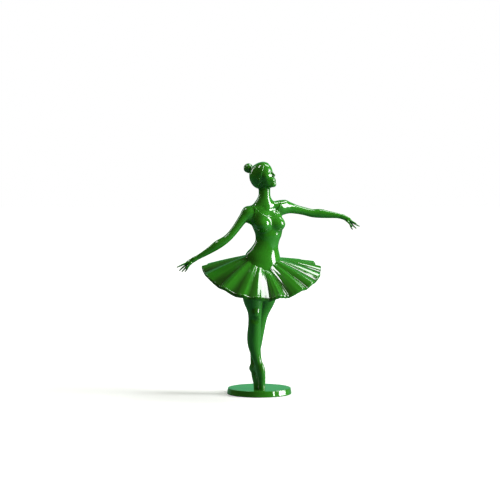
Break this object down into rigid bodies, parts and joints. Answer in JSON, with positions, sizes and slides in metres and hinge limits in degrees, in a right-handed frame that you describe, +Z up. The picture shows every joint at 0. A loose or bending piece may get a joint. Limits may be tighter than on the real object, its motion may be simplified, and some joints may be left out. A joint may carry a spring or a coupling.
{
  "type": "ballerina figurine",
  "caption": "Dancer in a pleated tutu standing on pointe with her arms held out, cast in one piece on a thin round base disc.",
  "frame": {"origin": "centre of the base disc's underside, which rests on the table", "axes": "+Z up through the dancer, -Y towards the front of the figurine, +X to the right of a viewer who faces that front"},
  "size_m": [0.2356, 0.1315, 0.3],
  "materials": {
    "green_lacquer": "high-gloss green lacquer over cast resin"
  },
  "bodies": {
    "root": {"dancer": "green_lacquer", "base_disc": "green_lacquer"}
  },
  "joints": []
}
